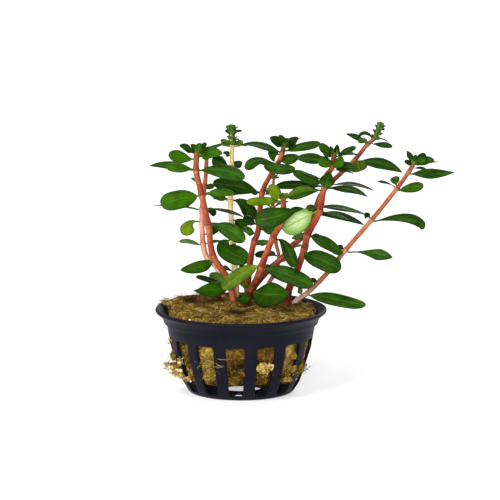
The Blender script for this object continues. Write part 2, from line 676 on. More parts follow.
stems = [{
    "colour": "ember", "radius": (1.12, 0.98), "nodes": (44.1, 55, 65.4, 73.9),
    "path": [
        (-2, 7.5, 22), (-2.6, 7.5, 29.7), (-4.6, 6, 36.5), (-9.1, 3.5, 44.1), (-10.7, 0.5, 55),
        (-12.8, -2.5, 65.4), (-14.5, -5, 73.9), (-14.3, -6, 80.1),
    ],
    "tuft": {"clusters": [(0, 2.9, 8)], "turn": 35, "low": 34, "blade": "ovate"},
    "small": [
        leaf(79.8, (-5.7, -1, 2.6), 3.3, 40, "lance", shade=0.15),
        leaf(79.4, (8.1, 3, 2.4), 2.6, 12),
        leaf(65.4, (7.9, 3, -1.8), 4, 36),
        leaf(55, (3.5, 9, -2.5), 5, -10),
        leaf(33.4, (-11.4, -1, 3.2), 2.5, 36, shade=0.1),
        leaf(33.2, (-6.9, 2.5, 3.9), 4.4, 44, shade=1, turned=True),
        leaf(80.1, (3.3, -2.5, 2.7), 3.4, 44, shade=0.25, above=0),
        leaf(80.1, (1.6, -3, 3.2), 3.2, 50, "lance", shade=0.6, above=0),
        leaf(80.1, (-2, -2.6, 2.8), 3, 50, "lance", shade=0.4, above=0),
        leaf(79.4, (8.6, 3.4, 2.6), 1.6, 8, "lance", shade=0.1),
        leaf(74.2, (-9.8, -4, 0.9), 3.8, 50, shade=0.95),
        leaf(43, (-5.6, 1.5, -2.4), 1.8, 20, shade=0.1),
        leaf(33.2, (-12.4, -5, -0.6), 2.4, 40, "lance", shade=0.4),
    ],
    "large": [
        leaf(79, (8.4, -3, 0.9), 5, 50, "ovate", shade=0.65, rise=(0.9, 1.1)),
        leaf(77.6, (-9, -4.4, 1.6), 4.8, 54, "disc", shade=0.7, rise=(0, 0.5)),
        leaf(73.9, (-15.2, 3, 0.9), 5, 24, "lance", shade=0.45, rise=(1, 1.2)),
        leaf(73.9, (15.7, -5, -1.9), 5.8, 42, shade=0.48, rise=(1.6, 1.6)),
        leaf(65.2, (-13.2, -4.6, -2.7), 6.5, 60, "oblong", shade=0.7, rise=(0.5, 0.9)),
        leaf(65.4, (11.6, -3, 0.4), 4, 38, "lance", shade=0.7, rise=(1.2, 1)),
        leaf(55, (11.8, -4, -5), 5.4, 56, shade=0.5, rise=(1.7, 1.6)),
        leaf(42.6, (-11.3, -4, -2.5), 4.4, 56, "ovate", shade=0.45, rise=(-0.5, -0.9)),
        leaf(33.3, (-11.4, -6, -1), 5.2, 58, "ovate", shade=0.5, rise=(0, 0)),
    ],
}, {
    "colour": "rust", "radius": (1.12, 0.68), "nodes": (46, 57.2, 64.7),
    "path": [
        (-5.8, 11, 22), (-6.2, 11.5, 30), (-7.8, 12.5, 38.4), (-11.2, 13.5, 41.6), (-12.4, 14.5, 46),
        (-12.8, 16.5, 57.2), (-11.9, 17.5, 64.7), (-11.2, 18.5, 74.1),
    ],
    "tuft": {"clusters": [(0, 2.2, 5)], "turn": 10, "low": 10},
    "small": [
        leaf(64.7, (-4.6, 1, 2.2), 2.6, 20),
        leaf(64.7, (2.4, -3, -0.8), 3, 50),
        leaf(46, (-8, 2, 0.6), 2.6, 24, "oblong", turned=True),
        leaf(46, (6.4, 2, 0.6), 2.6, 12),
        leaf(49, (5.6, 1, 1.6), 3.4, 40),
        leaf(74.1, (5.6, -1, 0.2), 1.8, 6, "lance", shade=0),
        leaf(74.1, (-2.8, -1, 0.3), 1.6, 10, shade=0),
        leaf(56.8, (4.6, 1, -2), 3, 40, shade=0.1),
    ],
    "large": [
        leaf(57.2, (-16.2, 5, 0.4), 3.6, -4, "lance", shade=0.2, rise=(0.6, 0.6)),
        leaf(57.2, (14, -5, -2), 3.6, 4, "lance", shade=0.3, rise=(1.4, 1.6)),
        leaf(
            53, (-4.9, -2.6, -4.3), 4.9, 66, "drop", shade=0.7, via=((-3, -1, 0.5), (-5, -2, 0.1)),
            tone="young",
        ),
    ],
}, {
    "colour": "cream", "radius": (1.22, 0.7), "nodes": (47.2, 60, 71, 77.8),
    "path": [
        (-1.4, 13, 22), (-1.6, 13.5, 28.9), (-2.7, 15.5, 47.2), (-3.5, 17.5, 60), (-3.1, 19, 71),
        (-2.9, 19.5, 77.8), (-3, 19.6, 79.6),
    ],
    "tuft": {
        "clusters": [(-1.6, 2.6, 9), (0.2, 2.2, 8), (1.9, 2.9, 10), (3.3, 2.6, 10)], "turn": 0,
        "young": 0.7, "low": 30,
    },
    "small": [
        leaf(77.4, (-5.2, 0.5, 0.4), 1.8, 14, shade=0.1),
        leaf(77.4, (5, 0.5, 0.1), 1.6, 14, shade=0.1),
        leaf(74.6, (-2.9, -1, 0.8), 3.2, 34, "ovate", shade=0.1),
        leaf(71, (-6.6, -1.5, 1.8), 5.4, 48, shade=0.1),
        leaf(71, (3.6, 1, 1), 3.4, 44, "ovate", shade=0.1),
        leaf(60, (-5, 8, -1), 4.6, -10),
        leaf(37, (-3.8, -2, 1.2), 2.4, 30),
        leaf(37, (3.4, 1, 1.4), 2.4, 20),
        leaf(77.8, (3.6, 0, 0.7), 1.7, 24, "lance", shade=0, above=2.4),
        leaf(77.8, (-2.2, 0, 0.9), 1.6, 24, "round", shade=0, above=2.2),
        leaf(78.6, (-3.9, -0.6, 0.9), 2, 40, "round", young=0.5),
        leaf(78, (-3.6, -0.6, 0.4), 2.2, 50, "round", young=0.7),
        leaf(78, (3.6, -0.6, 0.5), 2.5, 50, "round", young=0.6),
        leaf(79.4, (2.4, -0.6, 0.5), 1, 20, shade=0),
    ],
    "large": [
        leaf(60, (8.1, 1.5, -6.6), 5.4, 42, shade=0.15, rise=(2, 1.8)),
        leaf(53.4, (4.2, -2.5, -2.6), 4.6, 50, shade=0.45, rise=(0.8, 0.8)),
        leaf(47.2, (5.4, -6.5, -5.6), 6.5, 68, "oblong", shade=0.5, via=((-4.6, -1.4, -2.6), (-2, -5, -3.2))),
    ],
}, {
    "colour": "red", "radius": (1.12, 0.78), "nodes": (48.4, 64.6, 73.8, 77.9),
    "path": [
        (1.8, 8.5, 22), (2, 8.5, 31.2), (2.9, 8, 40.5), (4.2, 7.5, 48), (5.4, 7, 50.9), (6.3, 6.5, 59.8),
        (7.3, 6, 65.9), (10.2, 5.5, 71.4), (12.4, 5, 75.2), (14, 4.5, 80.2),
    ],
    "tuft": {"clusters": [(0, 2.9, 8)], "turn": 20, "low": 30, "blade": "ovate"},
    "small": [
        leaf(80.1, (-4.7, -1, 3), 3.6, 46, "ovate", shade=0.15),
        leaf(80.1, (4.7, -0.5, 2.9), 3.8, 46, "ovate", shade=0.05),
        leaf(76.9, (-3.9, 2, -0.9), 4.8, 60, shade=0.3),
        leaf(64.6, (4, 9, -1), 4.8, -10),
        leaf(54, (-5.2, -2, 1.7), 4, 46),
        leaf(52.4, (5.9, -2.5, 0), 4.2, 55),
        leaf(50.6, (-5.4, -3.5, 1.9), 3.8, 50, "lance", shade=0.9),
        leaf(80.2, (5.4, 1, 2.5), 1.4, 24, "lance", shade=0.1, above=0),
        leaf(80.2, (-2, -3, 3), 4.2, 56, "oblong", shade=0.3, above=0),
        leaf(80.2, (1.8, -2.8, 2.4), 3.8, 52, "ovate", shade=0.15, above=0),
        leaf(72.5, (-5.4, -2, 2.2), 1.8, 34, "lance", shade=0.2),
        leaf(64.2, (-3.4, -1.5, 0), 2.4, 40, shade=0),
        leaf(64.2, (3.2, -1.5, 0.5), 2.2, 40, shade=0.1),
    ],
    "large": [
        leaf(79, (12.2, -4, 2.5), 4, 42, shade=0.35, rise=(0, 0.5)),
        leaf(77.9, (-13.3, 5, 1.9), 4.2, 28, "lance", shade=0.2, rise=(1, 1.4)),
        leaf(75.3, (6.6, 1, 1.1), 4, 55, "ovate", shade=0.4, rise=(0.2, 0.2)),
        leaf(73.8, (-10.4, 1, -1.4), 4.4, 42, "spoon", shade=0.3, rise=(2, 2.6)),
        leaf(73.5, (6.2, -5, 0.2), 3.9, 58, "oblong", shade=0.35, via=((-5.8, -2.5, 1.4), (0.8, -6.5, -1.2))),
        leaf(64.6, (-16.2, -2.5, 3.4), 6, 52, shade=0.25, rise=(0.4, 0.8)),
    ],
}, {
    "colour": "rose", "radius": (1.35, 0.88), "nodes": (41.2, 51.4, 60.8),
    "path": [
        (0.4, 4, 22), (1.4, 4, 29.5), (5, 2, 36.3), (6.7, 0.5, 41.2), (9.1, -2, 48.1), (10.4, -3, 51.4),
        (13.5, -5.5, 57.6), (13.7, -7, 65.1),
    ],
    "tuft": {"clusters": [(0, 2.2, 7)], "turn": 50, "young": 0.7, "low": 26, "blade": "lance"},
    "small": [
        leaf(41.2, (1, 8, -2.5), 4.4, -10),
        leaf(65, (1.6, -2.2, 1.9), 1.7, 60, "lance", above=0, young=0.6),
        leaf(65, (-1.4, -2.6, 1.2), 1.7, 66, "lance", above=0, young=0.6),
        leaf(60.4, (6.6, -4, 1.7), 2.6, 50, "lance", shade=0.1),
        leaf(33.4, (-3.8, -3, 1.8), 2.8, 62, "round", young=0.9),
    ],
    "large": [
        leaf(65, (-4.9, -1.5, 4), 4.6, 50, "round", shade=0.8, rise=(0.3, 0.6), tone="young"),
        leaf(65, (11, -3, 2.7), 2.7, 46, "lance", shade=0.35, rise=(2.9, 2.3), tone="young"),
        leaf(63.8, (-12, -3, 0.1), 3.3, 48, "oblong", shade=0.6, rise=(0.4, 0.2), tone="young"),
        leaf(60.4, (-9.4, -6.4, -1.6), 7, 70, "spoon", shade=0.36, via=((6.6, -3, 2.7), (-1.4, -8, -0.9))),
        leaf(51.4, (7, -1.5, -9.7), 4.2, 46, shade=0.3, via=((3.2, -0.8, 0), (5.4, -1.4, -4.4))),
        leaf(41.2, (-12.8, -3.5, -6.9), 5, 60, "oblong", shade=0.5, rise=(1, 1), tone="young"),
        leaf(41.2, (16.7, -4.5, -5.5), 5.8, 60, "oblong", shade=0.38, rise=(0.6, 0.5)),
        leaf(33.1, (12.2, -9, 0.3), 8.8, 60, "ovate", shade=0.36, rise=(-0.9, -0.9)),
        leaf(32, (-3.6, -6.5, -0.2), 5.4, 60, "lance", shade=0.4, rise=(-1.2, -1.8)),
    ],
}, {
    "colour": "red", "radius": (1.3, 0.85), "nodes": (46.5, 51, 59.3, 67.5, 75.8),
    "path": [
        (14.5, 7, 22), (15.6, 6.8, 32), (18.6, 5.5, 39.8), (20.7, 4.5, 46.5), (21.7, 3.5, 51),
        (23.1, 3, 53.7), (25.6, 1.5, 59.3), (26.9, 0, 66.7), (27.7, -1.5, 71.5), (29.5, -2.5, 74.2),
        (30.3, -3, 78.6),
    ],
    "tuft": {"clusters": [(0, 2.5, 7)], "turn": 40, "low": 40, "blade": "lance"},
    "small": [
        leaf(78.2, (-5, -1, 3.9), 3.4, 50, "oblong", shade=0.5),
        leaf(78.2, (7.2, 0.5, 2.9), 3, 34, shade=0.1),
        leaf(78.2, (8.4, 3, 0), 1.6, 12, "lance", shade=0),
        leaf(76.2, (3.6, -3.6, 0.8), 4.2, 60, "oblong", shade=0.6, via=((0.6, -2.6, 0.2), (2.2, -3.8, 0.8))),
        leaf(74.8, (7.8, -3, -0.4), 4.2, 50, "ovate", shade=0.2),
        leaf(59.3, (9.2, -2.5, -2.8), 2.6, 8),
        leaf(51, (-4, 8, -3), 4.6, -10),
        leaf(78.3, (-1.4, -1, 3.2), 1.7, 50, "lance", shade=0, above=0),
        leaf(78.3, (1, 0, 3.6), 2, 50, "lance", shade=0, above=0),
        leaf(78.3, (-3.4, -3.5, 0.6), 2.6, 50, shade=0.2),
        leaf(76.2, (-5.2, -3.4, 0.6), 4, 60, shade=0.6, via=((-0.8, -2.6, 0.2), (-3.2, -3.6, 0.8))),
        leaf(73.9, (7.4, 2, -2), 1.6, 10, shade=0.1),
        leaf(69.7, (-10.1, 2, 2.8), 1.6, 20, "lance", shade=0.2),
        leaf(59.3, (-4.9, -1, 0.2), 3.4, 40, "ovate", shade=0.2, young=0.3),
        leaf(51.6, (3.6, -1.5, -1), 1.8, 40, shade=0),
    ],
    "large": [
        leaf(76.6, (-11.9, -3, 1.2), 4.6, 42, shade=0.3, rise=(0, 1)),
        leaf(73.4, (-1.9, -5, -4.8), 4.9, 64, "disc", shade=0.4, rise=(0.6, 0.4)),
        leaf(68.4, (-10.3, 1, 3.8), 4.2, 42, "oblong", shade=0.4, rise=(-0.2, 0.2)),
        leaf(67.5, (-15.8, 4, -0.3), 4, 34, "oblong", shade=0.1, rise=(0.4, 0.5)),
        leaf(66.2, (-11.7, -1.5, -2.2), 4.2, 50, shade=0.3, rise=(0.8, 1)),
        leaf(67.3, (14.3, -4, -2.6), 4, 26, "lance", shade=0.1, rise=(1.6, 2)),
        leaf(59, (-12.2, -4.8, -4.9), 8.5, -74, "coin", shade=0.6, rise=(0.2, 0), tone="under"),
        leaf(51.2, (11.3, 0.5, -6.5), 4.4, 52, "oblong", shade=0.42, via=((2.4, -2, -0.5), (7.4, -1, -3.2))),
        leaf(44.7, (12.3, -5.6, -4.5), 6.3, 58, "oblong", shade=0.32, via=((2, -4.2, 0.2), (8, -6, -2))),
    ],
}, {
    "colour": "red", "radius": (1.15, 0.68), "nodes": (45.5, 56.8, 66, 73.2, 78.4),
    "path": [
        (2.8, 12.5, 22), (3.6, 12.5, 30.8), (8.1, 13, 36.7), (13.7, 13.5, 41.9), (16.8, 14, 45.5),
        (21.3, 14.5, 49.6), (23.9, 15.5, 56.1), (26, 16.5, 61.9), (32.8, 17.5, 69.2), (37.1, 18, 73.2),
        (41.2, 18.5, 78.2), (44, 18.5, 80.6),
    ],
    "tuft": {
        "clusters": [(-0.5, 2.3, 7), (1.2, 2.3, 8), (2.9, 2.3, 8), (4, 2.1, 8)], "turn": 30, "upright": 1.3,
        "young": 0.7, "low": 24,
    },
    "small": [
        leaf(78.2, (-7.2, 0.5, 3.6), 2.6, 40, "lance", shade=0.1),
        leaf(80, (-4.8, 1, 1.2), 2.2, 24, shade=0, via=((-1.6, 0.4, 2.6), (-3.6, 1, 2.4))),
        leaf(79.3, (7.2, -1, -1.6), 2.8, 34, shade=0.1),
        leaf(74.4, (-5.4, 1.5, 1.4), 2.4, 12),
        leaf(45.5, (5, 7, -1.5), 4.4, -10),
        leaf(78.7, (-1.9, -2, 1), 2.4, 40, young=0.3),
        leaf(78.7, (-3.6, -1, 0.6), 2.2, 50, young=0.5),
        leaf(80.3, (4.4, 0, -1.4), 0.9, 20, "lance", shade=0.1, above=0),
    ],
    "large": [
        leaf(73.2, (15.6, -5, -3.4), 4.6, 40, "lance", shade=0.25, rise=(2, 1.6)),
        leaf(73.2, (1.4, -5, -3.1), 6, 66, "round", shade=0.2, rise=(0.6, 0.6), tone="young"),
        leaf(66, (14, 3, -3.4), 3.4, 14, "lance", shade=0.1, rise=(1.4, 1.4)),
        leaf(58.2, (17.2, 5.5, -4.1), 4.2, 22, "lance", shade=0.25, rise=(1.4, 1.2)),
        leaf(56, (16.4, -3, -3.4), 4, 32, "lance", shade=0.1, rise=(1.6, 1.6)),
    ],
}, {
    "colour": "tan", "radius": (0.9, 0.7), "nodes": (45.5, 55.3, 66.4, 72),
    "path": [
        (15, 10.5, 23.4), (18.1, 10.5, 27.9), (21.2, 10, 30.2), (27.6, 8.5, 36.8), (34.2, 7, 45.5),
        (42.3, 5.5, 55.3), (50.8, 4, 66.4), (54.7, 3.5, 72), (55.8, 3.3, 73.9),
    ],
    "tuft": {"clusters": [(0.6, 2.6, 7)], "turn": 10, "low": 24, "upright": 0.9, "blade": "ovate"},
    "small": [
        leaf(73.4, (-2.4, 1, 3.4), 2.2, 40, "lance", shade=0.1, above=1.6),
        leaf(73.4, (6.8, -1, 0.7), 3.7, 50, "ovate", shade=0.4, above=1.4),
        leaf(73.4, (4.2, 1, 2.4), 2.8, 36, shade=0, above=1),
        leaf(73.4, (-2.6, -2, 0.9), 2.4, 50, shade=0, above=0.4),
        leaf(66.4, (-6.2, 0.5, 2.2), 1.6, 34, "spoon", shade=0),
        leaf(66.8, (-1.6, 2, 2.9), 3.2, 44),
        leaf(55.3, (-2.4, 1.5, 0.7), 2.8, 40, shade=0),
        leaf(73.9, (4.2, -1.4, 2.7), 3, 50, "round", shade=0, above=1.2),
        leaf(73.9, (1, -1, 3), 2, 40, "ovate", shade=0.1, above=1),
        leaf(73.9, (3.6, -3.6, 0.6), 3.2, 60, "oblong", shade=0.5, above=1.3),
        leaf(73.9, (8.8, 1, 0.8), 1.1, 34, "lance", shade=0, above=0.4),
        leaf(73.6, (4.7, -1, -0.8), 1.8, 24, shade=0),
        leaf(66.5, (4, -1.4, -1.3), 2.4, 30, "lance", shade=0.1),
        leaf(45.4, (-2.7, -1.4, 0.5), 2.2, 60, "round", shade=0),
        leaf(34, (-2.7, -1.4, 0.5), 2, 60, "round", shade=0),
        leaf(32.6, (-5, -1, 1.2), 3.2, 54, "ovate", shade=0.9),
        leaf(29.5, (-1.8, -2.4, 2.8), 2.2, 70, shade=1, turned=True),
    ],
    "large": [
        leaf(71.6, (15.2, 4, -0.5), 4.4, 42, "lance", shade=0.5, rise=(0.2, -0.4)),
        leaf(66.4, (8.6, -4, 1.1), 4, 48, shade=0.55, rise=(0.3, 0.9)),
        leaf(55.3, (16, 4, -4), 4.6, 40, "spoon", shade=0.35, via=((6, 1.4, 0.9), (18.2, 4, 0.2))),
        leaf(45.5, (15.3, -5, -1.7), 4.6, 45, "paddle", shade=0.4, rise=(1.2, 0.6)),
        leaf(30.6, (19.2, -4, -3.2), 4.8, 50, "oblong", shade=0.5, rise=(0.8, -0.9)),
    ],
}, {
    "colour": "tan", "radius": (0.75, 0.5), "nodes": (45.7, 57.2),
    "path": [
        (7.6, 14.8, 22), (8.1, 14.8, 28.4), (8.8, 15.5, 32.3), (11.4, 17, 36.3), (12.4, 18.5, 41.3),
        (11.4, 19.5, 45.7), (10.4, 22, 57.2), (10.7, 23.5, 66.2),
    ],
    "tuft": {"clusters": [(0, 2.4, 6)], "turn": 60},
    "small": [
        leaf(45.7, (-5, 1, -1.2), 2.6, 20),
        leaf(41.3, (-4.4, 1.5, 0.4), 3, 24),
        leaf(39.3, (2.4, -0.5, 2), 2.4, 30),
        leaf(57.2, (-5, 4, 1), 3.6, -10),
        leaf(57.2, (5, 4, 1), 3.6, -10),
        leaf(45.7, (-7.6, 1, -1), 3.2, 30, shade=0.2, turned=True),
        leaf(41.3, (-8, 1.5, 0), 3.4, 30, shade=0.1),
    ],
    "large": [],
}]

# Belly is where a blade is widest. Base and tip are the powers of the curves to either side of it, and a blade
# with a stalk is bare up to that share of its length.
blades = {
    "oval": {"belly": 0.56, "base": (1.9, 0.95), "tip": (2.4, 0.52)},
    "lance": {"belly": 0.46, "base": (1.9, 1), "tip": (1.6, 0.85)},
    "spoon": {"belly": 0.7, "base": (1.25, 1.2), "tip": (2.3, 0.55)},
    "round": {"belly": 0.5, "base": (2.4, 0.56), "tip": (2.3, 0.5)},
    "drop": {"belly": 0.66, "base": (1.2, 1.7), "tip": (2.2, 0.5)},
    "oblong": {"belly": 0.52, "base": (2.4, 0.75), "tip": (3.2, 0.55)},
    "ovate": {"belly": 0.38, "base": (2.2, 0.62), "tip": (1.8, 0.75)},
    "disc": {"belly": 0.6, "base": (1.6, 0.95), "tip": (2.2, 0.5)},
    "paddle": {"belly": 0.66, "base": (1.1, 1.8), "tip": (1.7, 0.8)},
    "coin": {"belly": 0.56, "stalk": 0.12, "base": (2.2, 0.6), "tip": (2.2, 0.55)},
}

leafForm = {
    "grid": (44, 12),
    "smallGrid": (18, 8),
    "thickness": 0.3,
    "tipThinner": 0.35,  # by which share it is thinner at the tip and thicker at the foot
    "footThicker": 0.9,
    "footShare": 0.16,  # how much of the length is thicker
    "stalkWidth": 0.6,
    "fold": 13,  # degrees that each half rises from the midrib
    "foldSpread": (-6, 8),  # what chance adds to it from leaf to leaf
    "droop": 0.34,  # how far the margin curls back, as a share of half the width
    "droopSpread": (-0.1, 0.25),
    "grooveDepth": 0.16,
    "grooveWidth": 0.34,
    "veins": 6,
    "veinLean": 0.36,
    "veinDepth": 0.05,
    "wave": 0.2,
    "waveSpread": (0.3, 1.3),  # what chance multiplies it by
    "shadeSpread": (0.15, 0.6),  # for a leaf that states no shade
    "twist": 9,
    "seed": 31,
}


stemForm = {
    "step": 0.55,  # between two rings of faces
    "jointSwell": 0.18,
    "jointReach": 0.9,
    "bumpSize": 2.4,
    "bumpHeight": 0.22,
    "tipRings": 6,
}
# What a growing tip is where its stem doesn't say: leaves point up by low to high degrees, and each is turned
# on from the last by step. Upright is how far the tip leaves its stem's way for straight up.
tuftForm = {
    "young": 0.12, "low": 16, "high": 80, "step": 137.5, "shrink": 0.42, "upright": 0.4, "blade": "round",
}


def curvePoints(path):  # a centripetal curve through the path's points
    nodes = [Vector(point) for point in path]
    nodes = [2 * nodes[0] - nodes[1], *nodes, 2 * nodes[-1] - nodes[-2]]
    points = []
    for a, b, c, d in zip(nodes, nodes[1:], nodes[2:], nodes[3:]):
        ab, bc, cd = (math.sqrt((q - p).length) for p, q in ((a, b), (b, c), (c, d)))
        leave = ((b - a) / ab - (c - a) / (ab + bc) + (c - b) / bc) * bc
        arrive = ((c - b) / bc - (d - b) / (bc + cd) + (d - c) / cd) * bc
        points += geometry.interpolate_bezier(b, b + leave / 3, c - arrive / 3, c, 24)[:-1]
    return points + [nodes[-2]]


def measured(points):  # the way along the points, up to each of them
    ways = [0]
    for low, high in zip(points, points[1:]):
        ways.append(ways[-1] + (high - low).length)
    return ways


def placeAt(line, way):  # the point and the direction at a way along the line
    points, ways = line["points"], line["ways"]
    k = min(max(1, next((i for i, w in enumerate(ways) if w >= way), len(ways) - 1)), len(ways) - 1)
    share = (way - ways[k - 1]) / (ways[k] - ways[k - 1])
    return points[k - 1].lerp(points[k], share), (points[k] - points[k - 1]).normalized()


def wayAtHeight(line, height):
    return next((w for p, w in zip(line["points"], line["ways"]) if p.z >= height), line["ways"][-1])


def stemLine(name, stem):
    points = curvePoints(stem["path"])
    line = {"name": name, "stem": stem, "points": points, "ways": measured(points)}
    line["tuft"] = {**tuftForm, **stem["tuft"]}
    line["length"] = line["ways"][-1]
    line["nodeWays"] = [wayAtHeight(line, height) for height in stem["nodes"]]
    return line


def stemRadius(line, way):  # it swells at the joints
    low, high = line["stem"]["radius"]
    near = max(math.exp(-(((way - at) / stemForm["jointReach"]) ** 2)) for at in line["nodeWays"])
    return (low + (high - low) * way / line["length"]) * (1 + stemForm["jointSwell"] * near)


# One flat blade is modelled, from its stalk at x = 0 to its tip at x = 1 and between y = -1 and 1.
def flatBlade(name, grid):
    bpy.ops.mesh.primitive_grid_add(x_subdivisions=grid[0], y_subdivisions=grid[1], size=2)
    blade = named(name)
    editAll(blade)
    bpy.ops.transform.resize(value=(0.5, 1, 1))
    bpy.ops.transform.translate(value=(0.5, 0, 0))
    bpy.ops.object.mode_set(mode="OBJECT")
    body = blade.vertex_groups.new(name="body")
    for vertex in blade.data.vertices:
        body.add([vertex.index], math.sqrt(max(0, 1 - abs(vertex.co.y) ** 3)), "REPLACE")
    modify(blade, "SOLIDIFY", thickness=2, offset=0, vertex_group="body", use_rim=True)
    mergeDoubles(blade, 0.0001)
    blade.vertex_groups.clear()
    return blade


bladeModel = flatBlade("blade", leafForm["grid"])
smallBladeModel = flatBlade("smallBlade", leafForm["smallGrid"])


def bladeHalf(row, share):  # half the blade's width at a share of its length
    form = blades[row["blade"]]
    if share < form["belly"]:
        reach = form["belly"] - form.get("stalk", 0)
        end, (first, second) = min(1, (form["belly"] - share) / reach), form["base"]
    else:
        end, (first, second) = (share - form["belly"]) / (1 - form["belly"]), form["tip"]
    half = row["width"] / 2 * max(0, 1 - end**first) ** second
    stalk = leafForm["stalkWidth"] / 2 * min(1, row["width"] / 3.5)
    return max(stalk if share < 0.5 else 0, half)


def bladeLine(row, middle, along, radius):
    tip = middle + Vector(row["reach"])
    way = Vector(row["via"][0] if "via" in row else row["reach"])
    out = (way - along * way.dot(along)).normalized()
    start = middle + out * (radius + 0.3)
    rise = row.get("rise", (0.5, 0.5))
    if "via" in row:
        bends = [middle + Vector(bend) for bend in row["via"]]
    else:
        lifts = ((1 / 3, rise[0]), (2 / 3, rise[1]))
        bends = [start.lerp(tip, share) + Vector((0, 0, up)) for share, up in lifts]
    points = [middle + out * radius * 0.2] + list(geometry.interpolate_bezier(start, *bends, tip, 48))
    line = {"points": points, "ways": measured(points)}
    line["start"] = line["ways"][1]
    return line


def layBlade(model, row, stemWay, name, chance):
    line = bladeLine(row, *stemWay)
    length = line["ways"][-1]
    turned = math.radians(row.get("face", 0))
    facing = row.get("facing", Vector((0, -math.sin(turned), math.cos(turned))))
    fold = math.tan(math.radians(leafForm["fold"] + chance.uniform(*leafForm["foldSpread"])))
    droop = leafForm["droop"] + chance.uniform(*leafForm["droopSpread"])
    wave = leafForm["wave"] * row["width"] / 5 * chance.uniform(*leafForm["waveSpread"])
    phase = chance.uniform(0, 6)
    twist = math.radians(chance.uniform(-1, 1) * leafForm["twist"])
    thinner, thicker = leafForm["tipThinner"], leafForm["footThicker"]
    rows = {}
    for vertex in model.data.vertices:
        rows.setdefault(round(vertex.co.x, 4), []).append(vertex)
    blade = copied(model, name)
    under = [0.0] * len(blade.data.vertices)
    for share, vertices in rows.items():
        centre, along = placeAt(line, share * length)
        shown = max(0, (share * length - line["start"]) / (length - line["start"]))
        normal = (facing - along * along.dot(facing)).normalized()
        normal.rotate(Matrix.Rotation(twist * (shown - 0.3) * 2, 3, along))
        side = normal.cross(along)
        half = bladeHalf(row, shown)
        foot = max(0, 1 - shown / leafForm["footShare"])
        thick = leafForm["thickness"] / 2 * (1 - thinner * shown) * (1 + thicker * foot)
        thick *= min(1, half / 0.5 + 0.25)
        for vertex in vertices:
            across = vertex.co.y
            out = abs(across)
            lift = half * (fold * out - droop * fold * 2.2 * out**3)
            groove = math.exp(-((across * half / leafForm["grooveWidth"]) ** 2)) * min(1, half)
            lift -= leafForm["grooveDepth"] * groove * (1 - 0.5 * shown) * (1.3 if vertex.co.z < 0 else 1)
            vein = math.cos(2 * math.pi * (leafForm["veins"] * (shown - leafForm["veinLean"] * out)))
            lift -= leafForm["veinDepth"] * max(0, vein) ** 3 * (1 - out**2) * min(1, half / 1.5) * (1 - groove)
            lift += wave * out**2 * math.sin(7 * shown + phase + (1.3 if across > 0 else 0))
            place = centre + side * across * half + normal * (lift + vertex.co.z * thick)
            blade.data.vertices[vertex.index].co = place * mm
            under[vertex.index] = 0.5 - 0.5 * max(-1, min(1, vertex.co.z * (-5 if "turned" in row else 5)))
    pointValues(blade, "under", under)
    shade = row.get("shade", chance.uniform(*leafForm["shadeSpread"]))
    pointValues(blade, "tone", [shade] * len(under))
    pointValues(blade, "young", [row.get("young", 0.0)] * len(under))
    mergeDoubles(blade, 0.004 * mm)
    return blade


def stemWayAt(line, height):
    way = wayAtHeight(line, height)
    return *placeAt(line, way), stemRadius(line, way)


def tipAxis(line):  # the way the growing tip points, between its stem's way and straight up
    last, lean = placeAt(line, line["length"])
    return last, (lean + Vector((0, 0, line["tuft"]["upright"]))).normalized()


def tipRows(line, chance):  # each cluster's leaves turn round the stem and get steeper and shorter inwards
    tuft = line["tuft"]
    low, high = tuft["low"], tuft["high"]
    rows = []
    for above, size, count in tuft["clusters"]:
        for k in range(count):
            inner = k / (count - 1)
            turn = tuft["turn"] + tuft["step"] * k + chance.uniform(-10, 10)
            long = size * (1 - tuft["shrink"] * inner)
            steep = low + (high - low) * inner
            rows.append((above + 0.5 * inner, math.radians(turn), math.radians(steep), long))
    last, axis = tipAxis(line)
    turnUp = Vector((0, 0, 1)).rotation_difference(axis)
    spots = []
    for above, turn, steep, long in rows:
        flat = math.cos(steep)
        reach = Vector((flat * math.cos(turn), flat * math.sin(turn), math.sin(steep))) * long
        reach.rotate(turnUp)
        row = {
            "reach": reach, "width": long * 0.9, "facing": axis, "rise": (0.1, 0.1), "blade": tuft["blade"],
            "young": tuft["young"], "shade": chance.uniform(0, 0.6),
        }
        spots.append((row, (last + axis * above, axis, line["stem"]["radius"][1] * 0.5)))
    return spots


